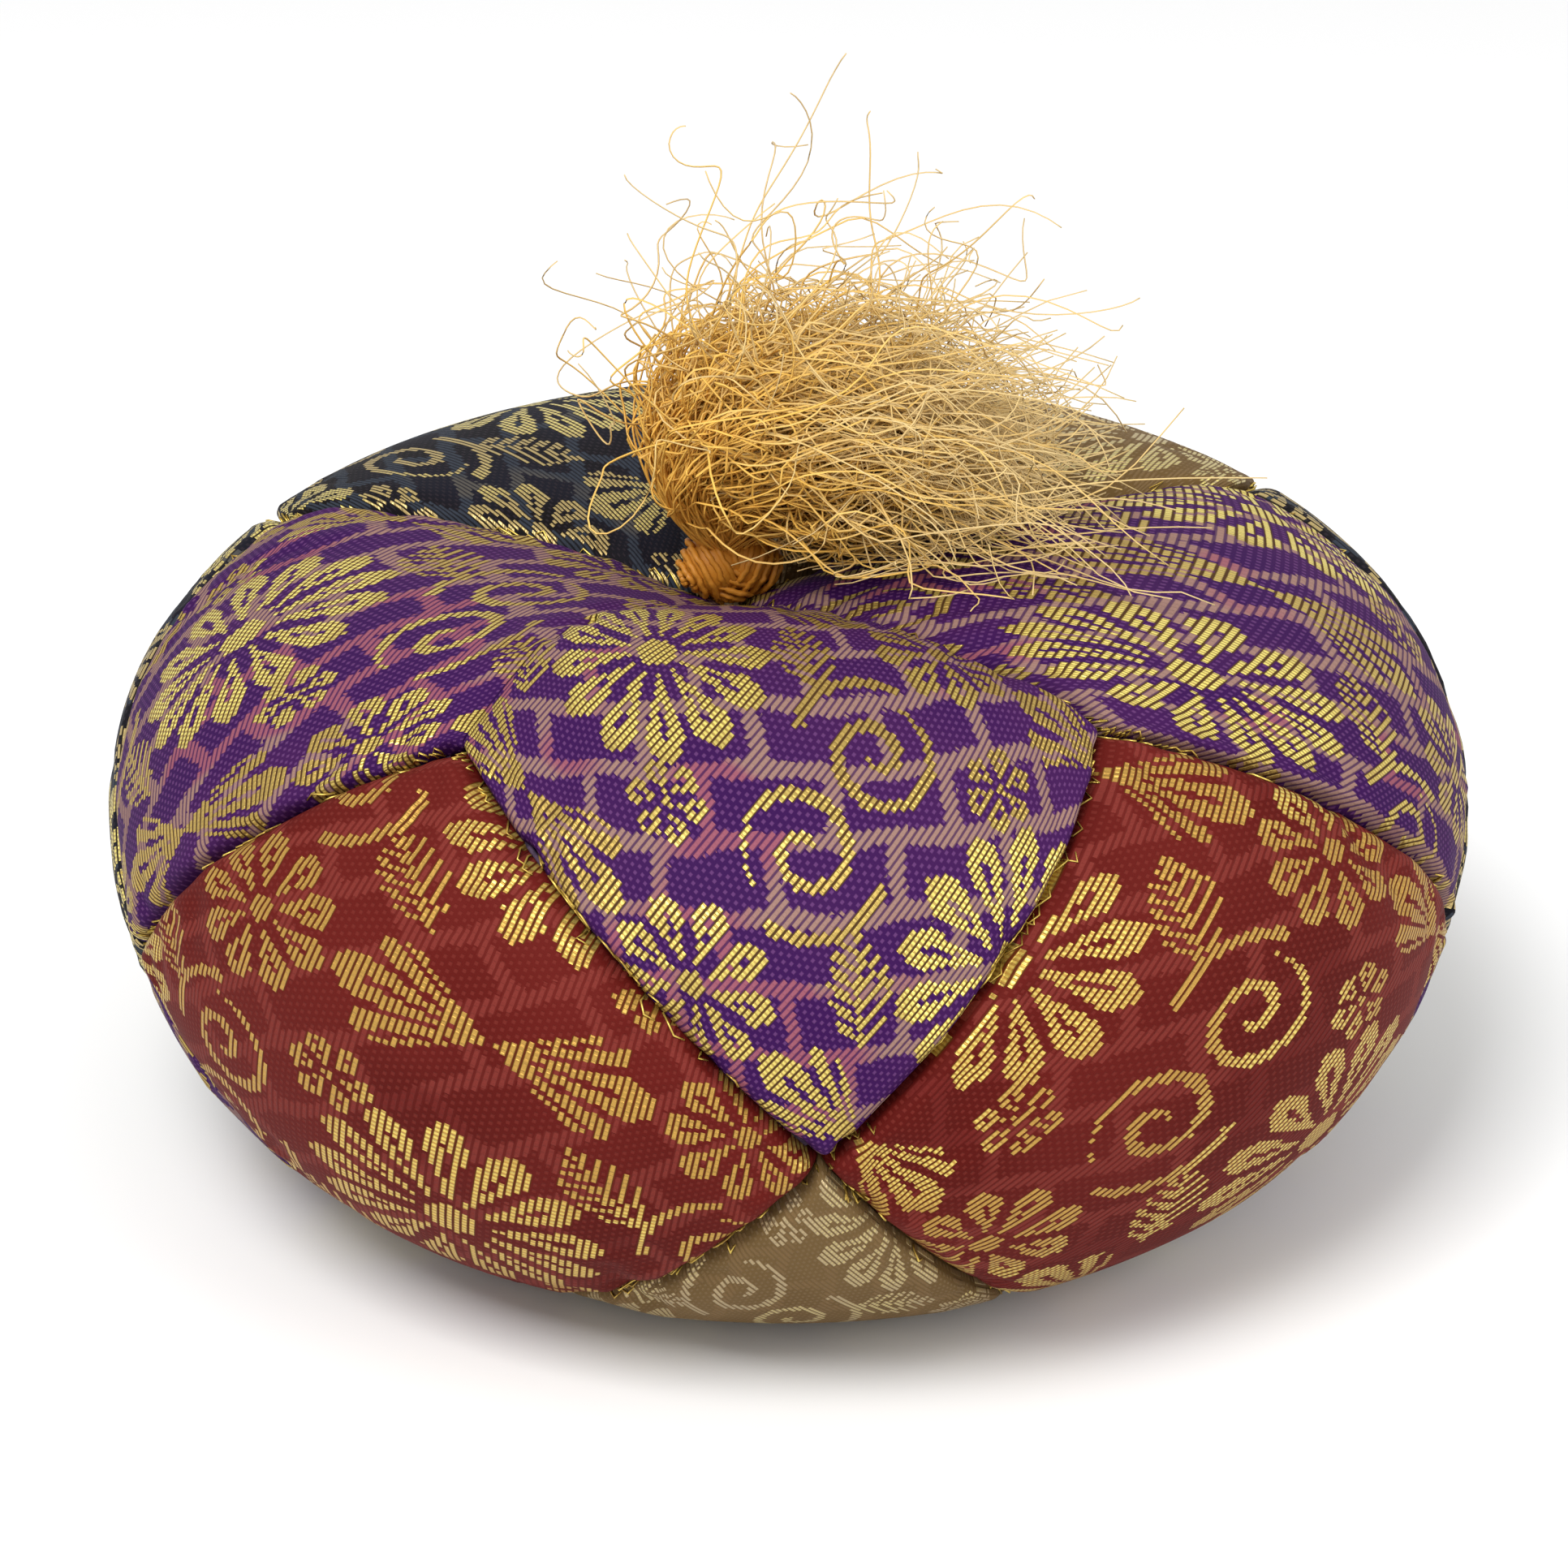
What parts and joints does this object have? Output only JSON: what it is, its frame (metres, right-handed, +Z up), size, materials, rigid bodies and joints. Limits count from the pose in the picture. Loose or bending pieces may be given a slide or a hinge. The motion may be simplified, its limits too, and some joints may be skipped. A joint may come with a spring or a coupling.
{
  "type": "pin cushion",
  "caption": "Round flattened pin cushion of sewn brocade squares over packed stuffing, tied in through the middle, with a floss tassel on top.",
  "frame": {"origin": "on the table under the middle of the cushion", "axes": "+Z up out of the tied top; -Y the front, where two side squares, a top square and a base square meet; the tassel leans towards +X"},
  "size_m": [0.085, 0.085, 0.0687],
  "materials": {
    "purple_brocade": "purple brocade with gold weft",
    "red_brocade": "red brocade with gold weft",
    "navy_brocade": "navy brocade with pale gold weft",
    "beige_brocade": "beige brocade with pale weft",
    "sewing_thread": "dark cotton thread",
    "tie_thread": "twisted gold thread",
    "stuffing": "packed cotton wadding",
    "floss_orange": "orange gold silk floss",
    "floss_gold": "gold silk floss"
  },
  "bodies": {
    "cushion": {"top_patch_front": "purple_brocade", "top_patch_right": "purple_brocade", "top_patch_back_right": "beige_brocade", "top_patch_back_left": "navy_brocade", "top_patch_left": "purple_brocade", "side_patch_front_right": "red_brocade", "side_patch_right_rear": "navy_brocade", "side_patch_back": "red_brocade", "side_patch_left_rear": "navy_brocade", "side_patch_front_left": "red_brocade", "base_patch_front": "beige_brocade", "base_patch_right": "purple_brocade", "base_patch_back_right": "navy_brocade", "base_patch_back_left": "red_brocade", "base_patch_left": "purple_brocade", "top_seam_threads": "sewing_thread", "upper_side_seam_threads": "sewing_thread", "lower_side_seam_threads": "sewing_thread", "base_seam_threads": "sewing_thread", "stuffing": "stuffing", "tie_thread": "tie_thread", "base_knot": "tie_thread"},
    "tassel_head": {"tassel_head": "floss_orange"},
    "tassel_skirt": {"tassel_skirt": "floss_gold", "neck_binding": "floss_orange", "stray_strands": "floss_gold"}
  },
  "joints": [
    {"name": "tassel_swivel", "type": "hinge", "parent": "cushion", "child": "tassel_head", "pos_m": [-0.00375, -0.001, 0.0375], "axis": [0, 0, 1], "range_deg": [-180, 180]},
    {"name": "tassel_tilt", "type": "hinge", "parent": "tassel_head", "child": "tassel_skirt", "pos_m": [-0.00375, -0.001, 0.0425], "axis": [0.2588, -0.9659, 0], "range_deg": [0, 60]}
  ]
}
